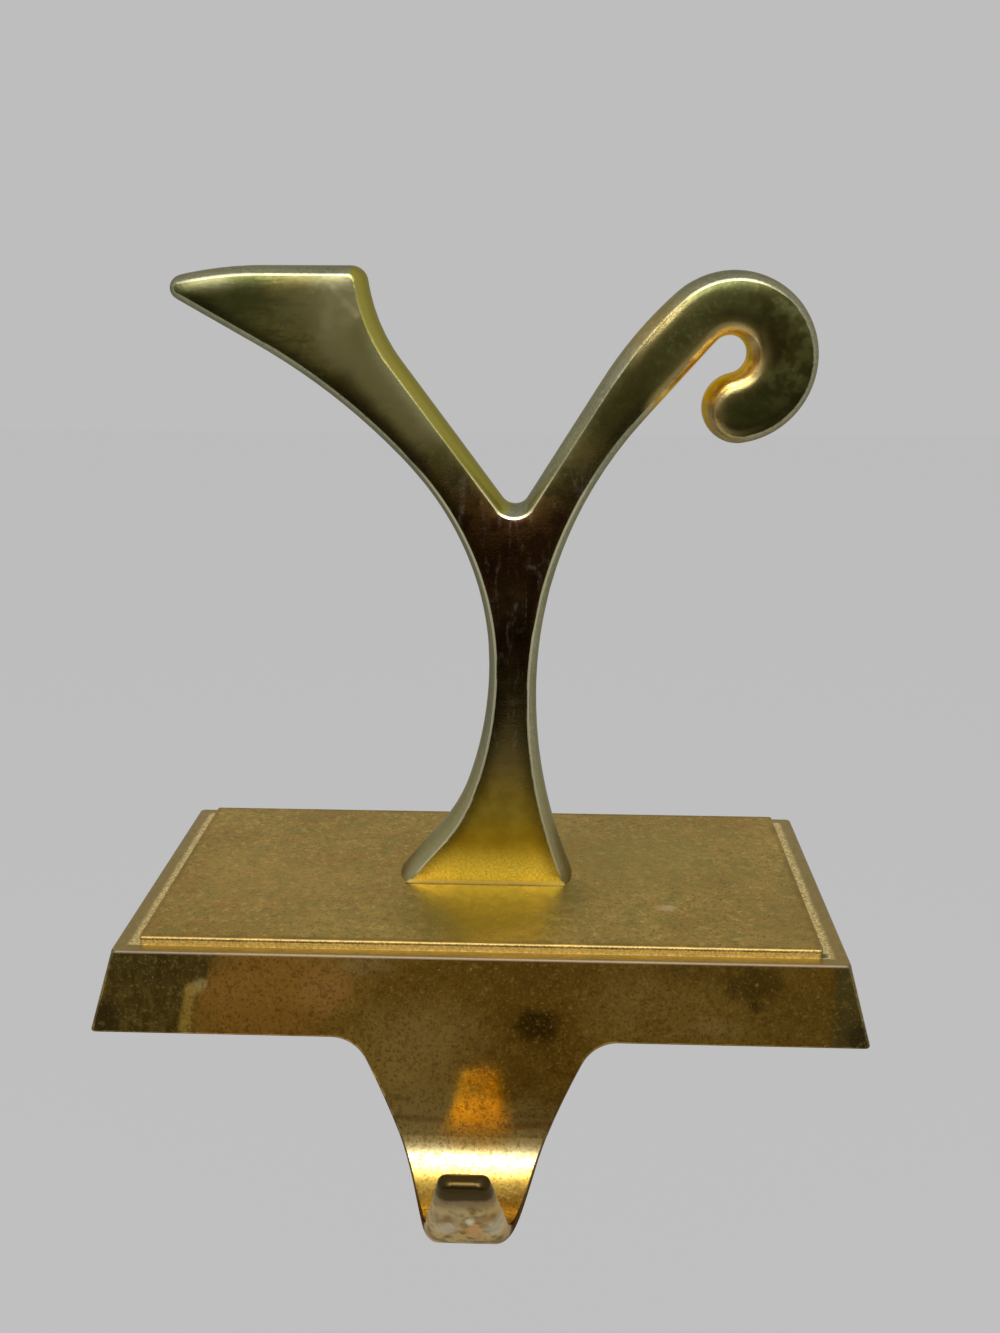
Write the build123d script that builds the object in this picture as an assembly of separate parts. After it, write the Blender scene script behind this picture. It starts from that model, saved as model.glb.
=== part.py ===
from build123d import *
from math import asin, atan2, cos, degrees, radians, sin, sqrt
import os

# Mantel stocking holder: a hollow cast brass base with a hook, and a cast initial screwed on top.
# Millimetres. X runs to the right, Y to the back and Z up. The origin is the middle of the base's underside.

# Base casting
base_width = 140.0
base_depth = 76.0
base_height = 14.5          # from the rim to the ledge round the raised panel
flank_inset = 3.78          # how far each side leans in between the rim and the ledge
base_corner_radius = 1.0
base_edge_radius = 0.5
side_ledge = 4.5            # width of the ledge at the left and right of the panel
long_ledge = 2.6            # and in front of it and behind it
panel_height = 1.6
panel_corner_radius = 0.6
panel_edge_radius = 0.3
wall = 3.2                  # metal thickness of the sides, the tongue and the hook
roof = 3.6                  # metal thickness under the ledge
hollow_corner_radius = 2.5

# Tongue and hook, which carry on from the front side
tongue_x = -0.5             # a little to the left of the middle
tongue_root_width = 43.4    # where the tongue's edges would meet the rim without their fillets
tongue_root_radius = 7.0
tongue_length = 17.2        # down the slope, from the rim to where the hook starts to bend
tongue_edge_hollow = 0.45   # how far the long edges bow inwards
bend_width = 26.3           # width where the bend starts
hook_radius = 10.3          # inside of the bend
nib_length = 12.6           # straight stretch past the bend
nib_lean = 22.0             # degrees that the nib leans away from upright
nib_root_width = 12.9
nib_tip_width = 8.7
quick_taper = 0.52          # how much faster than evenly the strip narrows at first
strip_edge_radius = 0.4     # on the rim, on the tongue and all along the inside of the bend
bend_side_flat = 0.2        # what the roundings leave of the strip's sides, where the bend ends
nib_side_flat = 0.1         # and at the tip
nib_inner_radius = 1.3      # the long edges at the tip, on the side of the tongue
nib_end_flat = 0.1          # what is left of that radius at the very end of the nib
nib_end_corner = 2.2        # how much the end is rounded across its width
nib_end_height = 1.8
bend_sections = 7
nib_sections = 3
end_sections = 4

# Letter casting: heights are above its foot, and x is from the middle of the base
letter_thickness = 13.0
letter_height = 117.2
side_bulge = 1.5            # how far the sides swell out between the two faces
shoulder_depth = 2.4        # below each face, where most of the swelling has come
shoulder_inset = 0.4        # and what is still to come there
letter_edge_radius = 0.6
left_waist_x = 0.5
left_foot_radius = 74.6
left_foot_turn = 18.8
left_flare_radius = 34.0
left_flare_angle = 40.5     # from upright, then straight on down to the panel
left_shoulder_radius = 55.8
left_shoulder_turn = 42.7
left_arm_radius = 111.6
left_arm_slope = 29.3
tip_reach = 56.8
tip_drop = 1.56             # the tip of the left arm below the letter's top
tip_face_radius = 0.95      # on the two faces: the swelling sides add to it
top_edge_radius = 68.5
corner_face_radius = 1.45   # on the two faces too
corner_flat = 0.96          # straight stretch between the corner and the hollow below it
serif_lean = 9.2
serif_drop = 16.6           # from the letter's top to where that hollow ends
crotch_x = 5.42
crotch_drop = 45.0
crotch_radius = 2.7
left_inner_slope = 53.2
right_inner_slope = 58.1
right_arm_radius = 71.7
curl_reach = 45.28          # along the right arm's inner edge, from the crotch to abreast of the curl
curl_setback = 2.19         # between the line of that edge and the curl
curl_radius = 15.3
nose_radius = 6.3
nose_bearing = -81.4
eye_radius = 3.4            # the round end of the gap inside the curl
eye_bearing = 101.4
right_outer_slope = 48.5
right_outer_run = 18.5      # straight stretch below the eye
right_waist_x = 9.6
right_foot_radius = 99.7
right_stem_radius = 87.6
right_stem_turn = 10.1
foot_allowance = 20.0       # drawn below the foot, then cut off flat

# Screws that hold the letter: slotted pan heads
screw_middle_x = 2.0
screw_spacing = 13.0
screw_diameter = 4.0
screw_reach = 8.0           # how far the shank goes into the letter
screw_head_diameter = 8.0
screw_head_height = 2.4
screw_head_edge_radius = 1.0
slot_width = 1.2
slot_depth = 1.0
letter_hole_clearance = 0.1
roof_hole_clearance = 0.25
hole_end_clearance = 1.5    # past the end of the shank

# Worked out from the sizes above
flank_angle = degrees(atan2(flank_inset, base_height))
wall_across = wall / cos(radians(flank_angle))
bend_outer_radius = wall - strip_edge_radius - bend_side_flat
nib_outer_radius = wall - nib_inner_radius - nib_side_flat
nib_end_radius = nib_inner_radius - nib_end_flat
ledge_width = base_width - 2 * flank_inset
ledge_depth = base_depth - 2 * flank_inset
panel_top = base_height + panel_height
ceiling = base_height - roof
screw_places = [Pos(screw_middle_x + side * screw_spacing / 2, 0, 0) for side in (-1, 1)]
joint_tolerance = 0.001
level_tangent = 0.5         # an edge with a smaller rise than this counts as level


def turned(angle, length=1.0):
    """A vector of a length, at an angle in degrees from the first axis."""
    return Vector(length * cos(radians(angle)), length * sin(radians(angle)))


def frustum(width, depth, height, corner):
    """A block whose four sides lean in as the plinth's do, with its corners rounded."""
    block = extrude(Rectangle(width, depth), height, taper=flank_angle)
    return fillet(block.edges().filter_by(lambda edge: abs(edge.tangent_at(0).Z) > level_tangent), corner)


def plinth():
    """The bevelled plinth with its raised panel, hollow from below."""
    block = frustum(base_width, base_depth, base_height, base_corner_radius)
    block = fillet(block.faces().sort_by(Axis.Z)[-1].edges(), base_edge_radius)
    panel_width = ledge_width - 2 * side_ledge
    panel_depth = ledge_depth - 2 * long_ledge
    panel_face = RectangleRounded(panel_width, panel_depth, panel_corner_radius)
    panel = extrude(Pos(0, 0, ceiling) * panel_face, panel_top - ceiling)
    panel = fillet(panel.faces().sort_by(Axis.Z)[-1].edges(), panel_edge_radius)
    hollow_width = base_width - 2 * wall_across
    hollow_depth = base_depth - 2 * wall_across
    hollow = frustum(hollow_width, hollow_depth, ceiling, hollow_corner_radius)
    return block + panel - hollow


def front_plane():
    """The plane of the front side, which the tongue carries on: x across and y up the slope."""
    facing = (0, -cos(radians(flank_angle)), sin(radians(flank_angle)))
    return Plane((tongue_x, -base_depth / 2, 0), x_dir=(1, 0, 0), z_dir=facing)


def tongue():
    """The flat stretch that runs down from the front side, as far as the bend."""
    root = tongue_root_width / 2
    bend = bend_width / 2
    inside = wall
    top = root + inside * (root - bend) / tongue_length
    half = make_face([
        Line((0, inside), (top, inside)),
        SagittaArc((top, inside), (bend, -tongue_length), -tongue_edge_hollow),
        Line((bend, -tongue_length), (0, -tongue_length)),
        Line((0, -tongue_length), (0, inside)),
    ])
    return extrude(front_plane() * (half + mirror(half, Plane.YZ)), -wall)


def strip_plane(turn):
    """Section plane across the hook's strip after a turn of the bend, in degrees."""
    slope = front_plane()
    bend_start = slope.origin - slope.y_dir * tongue_length
    centre = bend_start + slope.z_dir * hook_radius
    away = slope.z_dir.rotate(Axis.X, -turn)
    return Plane(centre - away * (hook_radius + wall / 2), x_dir=(1, 0, 0), z_dir=away.rotate(Axis.X, 90))


def hook(seam):
    """The strip from the end of the tongue to the tip of the nib, which narrows and gets rounder edges."""
    full_turn = 180 - nib_lean - flank_angle
    nib = strip_plane(full_turn)
    straight = nib_length - nib_end_height
    strip = [seam]
    for step in range(1, bend_sections + 1):
        share = step / bend_sections
        width = bend_width + (nib_root_width - bend_width) * share * (1 + quick_taper * (1 - share))
        outer_radius = bend_outer_radius + (strip_edge_radius - bend_outer_radius) * (1 - share) ** 3
        section = strip_section(width, wall, strip_edge_radius, outer_radius)
        strip.append(strip_plane(full_turn * share) * section)
    for step in range(1, nib_sections + 1):
        share = step / nib_sections
        width = nib_root_width + (nib_tip_width - nib_root_width) * share
        inner_radius = strip_edge_radius + (nib_inner_radius - strip_edge_radius) * share
        outer_radius = bend_outer_radius + (nib_outer_radius - bend_outer_radius) * share
        section = strip_section(width, wall, inner_radius, outer_radius)
        strip.append(nib.offset(straight * share) * section)
    end = [strip[-1]]
    for step in range(1, end_sections + 1):
        angle = radians(90 * step / end_sections)
        closing = 1 - cos(angle)
        width = nib_tip_width - 2 * nib_end_corner * closing
        inset = nib_end_radius * closing
        section = strip_section(width, wall - 2 * inset, nib_inner_radius - inset, nib_outer_radius - inset)
        end.append(nib.offset(straight + nib_end_height * sin(angle)) * section)
    return loft([section.face() for section in strip]) + loft([section.face() for section in end])


def strip_section(width, thickness, inner_radius, outer_radius):
    """A section of the strip with rounded corners, the inside of the bend being its upper side."""
    section = Rectangle(width, thickness)
    section = fillet(section.vertices().group_by(Axis.Y)[0], outer_radius)
    return fillet(section.vertices().group_by(Axis.Y)[-1], inner_radius)


def base_casting():
    """Plinth, tongue and hook as one casting, drilled for the letter's screws."""
    shell = plinth() + tongue()
    at_rim = shell.edges().filter_by_position(Axis.Z, -joint_tolerance, joint_tolerance)
    shell = fillet(at_rim.filter_by(is_root_corner), tongue_root_radius)
    shell = fillet(shell.edges().filter_by(runs_along_rim), strip_edge_radius)
    hole = extrude(Circle(screw_diameter / 2 + roof_hole_clearance), panel_top)
    return shell + hook(shell.faces().sort_by(Axis.Z)[0]) - [place * hole for place in screw_places]


def is_root_corner(edge):
    """True for the two short edges where the sides of the tongue meet the rim."""
    return edge.length < 2 * wall and abs(edge.center().X) < tongue_root_width


def runs_along_rim(edge):
    """True for the inner and outer edges of the rim and of the tongue, and not for those across the metal."""
    middle = edge @ 0.5
    depth = front_plane().to_local_coords(middle).Z
    on_tongue = abs(depth) < joint_tolerance or abs(depth + wall) < joint_tolerance
    bottom = -tongue_length * cos(radians(flank_angle))
    if abs(middle.Z) < joint_tolerance:
        return on_tongue or abs((edge % 0.5).X) > level_tangent or abs(middle.X) > tongue_root_width
    return on_tongue and bottom + joint_tolerance < middle.Z < 0


def letter_bends():
    """The bends of the outline, in order from the left foot round to the right foot.

    Each is a centre, a radius and the headings, in degrees, at which the outline enters and leaves it.
    Headings that fall turn right, round the metal. Headings that rise turn left, round the air.
    """
    tip_radius = side_bulge + tip_face_radius
    tip = Vector(tip_radius - tip_reach, letter_height - tip_drop - tip_radius)
    top_run = sqrt(tip_drop * (2 * (top_edge_radius - tip_radius) - tip_drop))
    top = Vector(tip.X + top_run, letter_height - top_edge_radius)
    top_heading = degrees(atan2(tip.Y - top.Y, -top_run)) - 90

    arm_heading = 180 - left_arm_slope
    arm_offset = turned(arm_heading - 90, left_arm_radius + tip_radius)
    shoulder_offset = turned(left_shoulder_turn, left_shoulder_radius - left_arm_radius)
    waist_offset = Vector(left_shoulder_radius, 0)
    bends_end = tip - arm_offset - shoulder_offset + waist_offset
    left_arm_run = (left_waist_x - bends_end.X) / cos(radians(left_arm_slope))
    left_arm = tip - arm_offset - turned(arm_heading, left_arm_run)
    left_shoulder = left_arm - shoulder_offset
    left_waist = left_shoulder + waist_offset
    left_foot = left_waist - Vector(left_foot_radius, 0)
    left_flare = left_foot + turned(-left_foot_turn, left_foot_radius - left_flare_radius)

    crotch_point = Vector(crotch_x, letter_height - crotch_drop)
    opening = 180 - left_inner_slope - right_inner_slope
    crotch = crotch_point + turned(right_inner_slope + opening / 2, crotch_radius / sin(radians(opening / 2)))

    corner_radius = side_bulge + corner_face_radius
    inner_run = (crotch_drop - serif_drop) / sin(radians(left_inner_slope))
    serif_end = crotch_point + turned(180 - left_inner_slope, inner_run)
    corner_depth = corner_radius * (1 - sin(radians(serif_lean))) + corner_flat * cos(radians(serif_lean))
    serif_radius = (serif_drop - corner_depth) / (cos(radians(left_inner_slope)) - sin(radians(serif_lean)))
    serif = serif_end + turned(90 - left_inner_slope, serif_radius)
    corner_foot = serif - turned(serif_lean, serif_radius)
    corner = corner_foot + turned(90 + serif_lean, corner_flat) - turned(serif_lean, corner_radius)

    inner_way = turned(right_inner_slope)
    inner_side = turned(right_inner_slope - 90)
    curl = crotch_point + inner_way * curl_reach + inner_side * (curl_radius + curl_setback)
    arm_lead = sqrt(curl_setback * (2 * (right_arm_radius - curl_radius) - curl_setback))
    right_arm = crotch_point + inner_way * (curl_reach - arm_lead) + inner_side * right_arm_radius
    to_curl = curl - right_arm
    curl_heading = degrees(atan2(to_curl.Y, to_curl.X)) - 90
    nose = curl + turned(nose_bearing, curl_radius - nose_radius)
    eye = nose + turned(eye_bearing, nose_radius + eye_radius)
    eye_heading = eye_bearing - 90 - 360

    flank_heading = right_outer_slope - 180
    flank_side = turned(right_outer_slope + 90)
    flank_end = eye + flank_side * eye_radius + turned(flank_heading, right_outer_run)
    stem_cosine = cos(radians(right_stem_turn))
    shoulder_width = flank_end.X - right_waist_x - right_stem_radius * (1 - stem_cosine)
    right_shoulder_radius = shoulder_width / (stem_cosine - sin(radians(right_outer_slope)))
    right_shoulder = flank_end - flank_side * right_shoulder_radius
    stem_offset = turned(180 - right_stem_turn, right_stem_radius - right_shoulder_radius)
    right_stem = right_shoulder - stem_offset
    right_foot = Vector(right_waist_x + right_foot_radius, right_stem.Y)
    right_foot_turn = degrees(asin((right_stem.Y + foot_allowance) / right_foot_radius))

    return [
        (left_flare, left_flare_radius, 90 - left_flare_angle, 90 - left_foot_turn),
        (left_foot, left_foot_radius, 90 - left_foot_turn, 90),
        (left_shoulder, left_shoulder_radius, 90, 90 + left_shoulder_turn),
        (left_arm, left_arm_radius, 90 + left_shoulder_turn, arm_heading),
        (tip, tip_radius, arm_heading, top_heading),
        (top, top_edge_radius, top_heading, 0),
        (corner, corner_radius, 0, serif_lean - 90),
        (serif, serif_radius, serif_lean - 90, -left_inner_slope),
        (crotch, crotch_radius, -left_inner_slope, right_inner_slope),
        (right_arm, right_arm_radius, right_inner_slope, curl_heading),
        (curl, curl_radius, curl_heading, nose_bearing - 90),
        (nose, nose_radius, nose_bearing - 90, eye_heading),
        (eye, eye_radius, eye_heading, flank_heading),
        (right_shoulder, right_shoulder_radius, flank_heading, -90 - right_stem_turn),
        (right_stem, right_stem_radius, -90 - right_stem_turn, -90),
        (right_foot, right_foot_radius, -90, right_foot_turn - 90),
    ]


def letter_section(inset):
    """The outline drawn in by an inset all round, as a face."""
    edges = []
    for centre, radius, heading_in, heading_out in letter_bends():
        side = 1 if heading_out < heading_in else -1
        arc = CenterArc(centre, radius - side * inset, heading_in + 90 * side, heading_out - heading_in)
        if edges and (arc @ 0 - edges[-1] @ 1).length > joint_tolerance:
            edges.append(Line(edges[-1] @ 1, arc @ 0))
        edges.append(arc)
    flare = edges[0] @ 0
    flare_run = (flare.Y + foot_allowance) / cos(radians(left_flare_angle))
    toe = flare - turned(90 - left_flare_angle, flare_run)
    return make_face([Line(toe, flare)] + edges + [Line(edges[-1] @ 1, toe)])


def letter_casting():
    """The initial: flat faces front and back, swelling sides, and a foot cut flat for the panel."""
    upright = Plane((0, 0, panel_top), x_dir=(1, 0, 0), z_dir=(0, -1, 0))
    half = letter_thickness / 2
    swelling = [(half, side_bulge), (half - shoulder_depth, shoulder_inset), (0, 0),
                (shoulder_depth - half, shoulder_inset), (-half, side_bulge)]
    body = loft([(upright.offset(depth) * letter_section(inset)).face() for depth, inset in swelling])
    body = split(body, Plane.XY.offset(panel_top), keep=Keep.TOP)
    faces = body.faces().sort_by(Axis.Y)
    rims = faces[0].edges() + faces[-1].edges()
    rims = rims.filter_by(lambda edge: (edge @ 0.5).Z > panel_top + joint_tolerance)
    body = fillet(rims, letter_edge_radius)
    hole_sketch = Pos(0, 0, panel_top) * Circle(screw_diameter / 2 + letter_hole_clearance)
    hole = extrude(hole_sketch, screw_reach + hole_end_clearance)
    return body - [place * hole for place in screw_places]


def letter_screw():
    """One slotted pan-head screw, with its head against the underside of the roof."""
    shank = extrude(Circle(screw_diameter / 2), panel_top - ceiling + screw_reach)
    head = extrude(Circle(screw_head_diameter / 2), -screw_head_height)
    head = fillet(head.faces().sort_by(Axis.Z)[0].edges(), screw_head_edge_radius)
    slot = Pos(0, 0, -screw_head_height) * Box(screw_head_diameter, slot_width, 2 * slot_depth)
    return Pos(0, 0, ceiling) * (shank + head - slot)


os.makedirs("parts", exist_ok=True)
export_step(base_casting(), "parts/base.step")
export_step(letter_casting(), "parts/letter.step")
screws = Compound(children=[place * letter_screw() for place in screw_places])
export_step(screws, "parts/letter_screws.step")
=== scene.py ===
import bpy
from math import pi, radians
from types import SimpleNamespace
from mathutils import Matrix, Vector

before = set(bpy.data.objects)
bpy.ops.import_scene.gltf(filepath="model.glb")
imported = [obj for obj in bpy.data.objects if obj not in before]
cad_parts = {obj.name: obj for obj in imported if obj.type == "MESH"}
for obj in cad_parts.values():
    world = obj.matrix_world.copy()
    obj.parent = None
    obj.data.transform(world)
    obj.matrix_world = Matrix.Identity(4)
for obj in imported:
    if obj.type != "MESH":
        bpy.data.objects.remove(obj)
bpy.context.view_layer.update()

MM_PER_M = 1000

# Sizes of the part that the materials refer to, in millimetres
LEDGE_Z = 14.5
PANEL_TOP = 16.1
PANEL_HALF_X = 61.72
PANEL_HALF_Y = 31.62
FRONT_Y = -38.0
FLANK_RUN = 0.2607
HALF_WIDTH = 70.0
HALF_DEPTH = 38.0
WALL = 3.4
CEILING = 10.9
BEND_CENTRE = (-0.5, -52.3, -14.05)
NIB_AXIS = (0.0, -0.375, 0.927)
NIB_START = 6.59
FACE_Y = -6.5

# Soft limits of the base's areas, from where a mask is 0 to where it is 1, in millimetres
TOP_Z = (LEDGE_Z - 0.08, LEDGE_Z - 0.03)
LEDGE_BAND_Z = (LEDGE_Z + 0.5, LEDGE_Z + 0.1)
STEP_Z = (PANEL_TOP - 0.12, PANEL_TOP - 0.30)
STEP_X = (PANEL_HALF_X + 2.9, PANEL_HALF_X + 1.9)
STEP_Y = (PANEL_HALF_Y + 0.7, PANEL_HALF_Y + 0.3)
PANEL_Z = (PANEL_TOP - 0.25, PANEL_TOP - 0.08)
BORDER_X = (PANEL_HALF_X - 1.6, PANEL_HALF_X - 0.5)
BORDER_Y = (PANEL_HALF_Y - 1.6, PANEL_HALF_Y - 0.5)
WORN_Z = (LEDGE_Z - 0.9, LEDGE_Z - 0.5)
EDGE_LINE_LOW_Z = (LEDGE_Z - 0.55, LEDGE_Z - 0.40)
EDGE_LINE_HIGH_Z = (LEDGE_Z - 0.02, LEDGE_Z - 0.10)
SAND_LOW_Z = (LEDGE_Z + 1.0, LEDGE_Z + 0.5)
GROOVE_LOW_Z = (PANEL_TOP - 0.80, PANEL_TOP - 0.65)
GROOVE_HIGH_Z = (PANEL_TOP - 0.35, PANEL_TOP - 0.50)
HOLLOW_X = (HALF_WIDTH - WALL + 0.6, HALF_WIDTH - WALL + 0.2)
HOLLOW_Y = (HALF_DEPTH - WALL + 0.6, HALF_DEPTH - WALL + 0.2)
HOLLOW_Z = (CEILING + 0.6, CEILING + 0.3)
FRONT_WALL_Y = (-32.5, -34.0)
LEFT_END_X = (-50.5, -52.0)
LEFT_END_LEAN = 0.43
RIGHT_END_X = (63.5, 66.0)
HEM_HIGH_Z = (1.2, 0.7)
HEM_LOW_Z = (-4.0, -2.0)
TONGUE_Z = (-0.3, -1.5)
SATIN_TONGUE_Z = (-11.5, -17.0)
SATIN_BEND_Z = (-19.0, -22.0)
BEND_SIDES_X = (6.0, 7.2)
BEND_SIDES_Y = (-54.0, -57.0)
NIB_Y = (-57.0, -60.0)
NIB_TIP_WAY = (9.3, 10.3)

# Soft limits of the letter's areas, written the same way
LEFT_ARM_X = (-26, -36)
LEFT_TIP_X = (-30, -44)
LEFT_INNER_X = (8, 2)
RIGHT_ARM_X = (8, 24)
CURL_X = (43, 50)
STEM_Z = (101, 86)
FOOT_Z = (54, 26)
TOE_Z = (26, 17)
SEAM_Z = (17.0, 16.6)
UNDER_Z = (19, 23)
FLANK_HIGH_Z = (80, 66)
FLANK_LOW_Z = (16.6, 18.5)
SMUDGE_HIGH_Z = (102, 94)
SMUDGE_LOW_Z = (42, 48)
KNEE_HIGH_Z = (66, 54)
KNEE_LOW_Z = (34, 46)
PALE_EDGE_HIGH_Z = (100, 92)
PALE_EDGE_LOW_Z = (17.5, 19)

# Reach of the rolled normals and depth of the relief, in millimetres
WORN_REACH = 0.35
FACE_REACH = 5.0
DARK_EDGE_REACH = 6.0
CURL_REACH = 2.6
BASE_RELIEF = 0.12
LETTER_RELIEF = 0.03

# Share of the rolled normal on the letter's faces and in its curl
FACE_CROWN = 0.30
CURL_CROWN = 0.75

# Camera, fitted to the photograph
CAMERA_PLACE = (0.0117350, -0.2602276, 0.1331197)
CAMERA_RIGHT = (0.99933368, 0.03630267, 0.00378277)
CAMERA_FORWARD = (-0.03387490, 0.96107487, -0.27420354)
CAMERA_UP = (-0.01358984, 0.27389270, 0.96166424)
FOCAL_PIXELS = 1401.5955
IMAGE_HEIGHT = 1333
SENSOR = 36.0
CLIP_START = 0.01

# Stage, in metres
BACKGROUND = (0.515, 0.515, 0.515, 1)
MATTE_ROUGHNESS = 0.9
FLOOR_Z = -0.35
FLOOR_SIZE = 8.0
FLOOR_ALBEDO = (0.80, 0.80, 0.80, 1)
FLOOR_GLOW = 0.92
FLAG_PLACE = (0.0, -1.6, -0.065)
FLAG_SIZE = (5.0, 0.57)
FLAG_LIGHT = (0.36, 0.32, 0.25, 1)
FLAG_DARK = (0.016, 0.0135, 0.011, 1)
FLAG_FADE = (-0.26, -0.07)
CLOTH_PLACE = (0.0, -1.25, -0.345)
CLOTH_SIZE = (5.0, 0.7)
CLOTH_FADE = (-1.30, -0.92)
KEY_DISTANCE = 1.0
KEY_ELEVATION = 46.0
KEY_SIZE = (0.8, 0.72)
KEY_RADIANCE = 6.0

# Shader settings
WHITE = (1, 1, 1)
NOISE_MIDDLE = (0.35, 0.65)
BEVEL_SAMPLES = 4
RIM_COSINE = (0.995, 0.90)
SPECK_CORE = 0.4

# Numbers of the Mix node's sockets for each kind of value: first input, second input, output
MIX_SOCKETS = {"FLOAT": (2, 3, 0), "RGBA": (6, 7, 2)}


class Shader:
    """One material's nodes. Places are in millimetres of the part's frame, and colours have no alpha."""

    def __init__(self, name):
        self.material = bpy.data.materials.new(name)
        self.material.use_nodes = True
        self.nodes = self.material.node_tree.nodes
        self.links = self.material.node_tree.links
        self.nodes.clear()
        place = self.nodes.new("ShaderNodeTexCoord").outputs["Object"]
        self.place = self.vector("SCALE", place, scale=MM_PER_M)
        self.x, self.y, self.z = self.split(self.place)
        self.normal = self.nodes.new("ShaderNodeNewGeometry").outputs["Normal"]
        self.right, self.back, self.up = self.split(self.normal)

    def split(self, vector):
        """The three parts of a vector."""
        node = self.nodes.new("ShaderNodeSeparateXYZ")
        self.links.new(vector, node.inputs[0])
        return node.outputs

    def put(self, socket, value):
        """Links a socket to an output, or sets it to a plain value."""
        if isinstance(value, bpy.types.NodeSocket):
            self.links.new(value, socket)
        elif socket.type == "RGBA":
            socket.default_value = (*value, 1.0)
        else:
            socket.default_value = value

    def math(self, operation, first, second=0.0, clamp=False):
        """One sum on numbers."""
        node = self.nodes.new("ShaderNodeMath")
        node.operation = operation
        node.use_clamp = clamp
        self.put(node.inputs[0], first)
        self.put(node.inputs[1], second)
        return node.outputs[0]

    def vector(self, operation, first, second=(0, 0, 0), scale=1.0):
        """One sum on vectors."""
        node = self.nodes.new("ShaderNodeVectorMath")
        node.operation = operation
        self.put(node.inputs[0], first)
        self.put(node.inputs[1], second)
        if operation == "SCALE":
            self.put(node.inputs["Scale"], scale)
        return node.outputs["Value" if operation in ("LENGTH", "DOT_PRODUCT") else "Vector"]

    def magnitude(self, value):
        """A number without its sign."""
        return self.math("ABSOLUTE", value)

    def plus(self, value, other, share):
        """A number plus a share of another."""
        return self.math("ADD", value, self.math("MULTIPLY", other, share))

    def fold(self, operation, values):
        """One sum on numbers, from the first to the last."""
        result = values[0]
        for value in values[1:]:
            result = self.math(operation, result, value)
        return result

    def times(self, *values):
        """Where all masks are."""
        return self.fold("MULTIPLY", values)

    def either(self, *values):
        """Where any of the masks is."""
        return self.fold("MAXIMUM", values)

    def rest(self, value):
        """Where a mask is not."""
        return self.math("SUBTRACT", 1.0, value, clamp=True)

    def smooth(self, value, low, high, start=0.0, end=1.0):
        """A soft step from start to end, as the value goes from low to high."""
        node = self.nodes.new("ShaderNodeMapRange")
        node.interpolation_type = "SMOOTHSTEP"
        self.put(node.inputs["Value"], value)
        for name, number in (("From Min", low), ("From Max", high), ("To Min", start), ("To Max", end)):
            node.inputs[name].default_value = number
        return node.outputs["Result"]

    def noise(self, size, detail=3.0, rough=0.55, stretch=(1, 1, 1), shift=0.0, distort=0.0):
        """Cloudy values from 0 to 1 with features of a size in millimetres."""
        node = self.nodes.new("ShaderNodeTexNoise")
        spread = self.vector("DIVIDE", self.place, tuple(size * s for s in stretch))
        self.put(node.inputs["Vector"], self.vector("ADD", spread, (shift, shift, shift)))
        node.inputs["Scale"].default_value = 1.0
        node.inputs["Detail"].default_value = detail
        node.inputs["Roughness"].default_value = rough
        node.inputs["Distortion"].default_value = distort
        return node.outputs[0]

    def specks(self, size, radius, share, shift=0.0):
        """Small round dots on a share of the cells of a size in millimetres."""
        node = self.nodes.new("ShaderNodeTexVoronoi")
        self.put(node.inputs["Vector"], self.vector("ADD", self.place, (shift, shift, shift)))
        node.inputs["Scale"].default_value = 1.0 / size
        dot = self.smooth(node.outputs["Distance"], radius, radius * SPECK_CORE)
        pick = self.nodes.new("ShaderNodeSeparateColor")
        self.links.new(node.outputs["Color"], pick.inputs[0])
        return self.math("MULTIPLY", dot, self.math("LESS_THAN", pick.outputs[0], share))

    def blot(self, centre, half, edge=0.5, ragged=0.6, grain=3.0):
        """A soft-edged patch round a point, with half sizes in millimetres along the axes."""
        away = self.vector("DIVIDE", self.vector("SUBTRACT", self.place, centre), half)
        reach = self.vector("LENGTH", away)
        swing = self.math("SUBTRACT", self.noise(grain, shift=centre[0]), 0.5)
        return self.smooth(self.plus(reach, swing, ragged * 2), 1 + edge, 1 - edge)

    def streak(self, start, end, width, edge=0.5):
        """A soft-edged line between two points, with a half width in millimetres."""
        along = Vector(end) - Vector(start)
        offset = self.vector("SUBTRACT", self.place, start)
        length = self.vector("DOT_PRODUCT", offset, tuple(along))
        share = self.math("DIVIDE", length, along.length_squared, clamp=True)
        away = self.vector("SUBTRACT", offset, self.vector("SCALE", tuple(along), scale=share))
        return self.smooth(self.vector("LENGTH", away), width * (1 + edge), width * (1 - edge))

    def rounded(self, reach):
        """A normal that rolls over the edges within a reach in millimetres."""
        node = self.nodes.new("ShaderNodeBevel")
        node.samples = BEVEL_SAMPLES
        node.inputs["Radius"].default_value = reach / MM_PER_M
        return node.outputs[0]

    def rim(self, rolled):
        """Goes from 0 to 1 as a rolled normal leaves the true one."""
        return self.smooth(self.vector("DOT_PRODUCT", rolled, self.normal), *RIM_COSINE)

    def crowned(self, rolled, share, normal):
        """A normal that leans a share of the way towards a rolled one."""
        left = self.rest(share) if isinstance(share, bpy.types.NodeSocket) else 1 - share
        lean = self.vector("SCALE", rolled, scale=share)
        flat = self.vector("SCALE", normal, scale=left)
        return self.vector("NORMALIZE", self.vector("ADD", flat, lean))

    def mix(self, share, first, second, kind="RGBA"):
        """Goes from the first colour to the second."""
        node = self.nodes.new("ShaderNodeMix")
        node.data_type = kind
        start, end, result = MIX_SOCKETS[kind]
        self.put(node.inputs["Factor"], share)
        self.put(node.inputs[start], first)
        self.put(node.inputs[end], second)
        return node.outputs[result]

    def blend(self, share, first, second):
        """Goes from the first number to the second."""
        return self.mix(share, first, second, kind="FLOAT")

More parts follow.
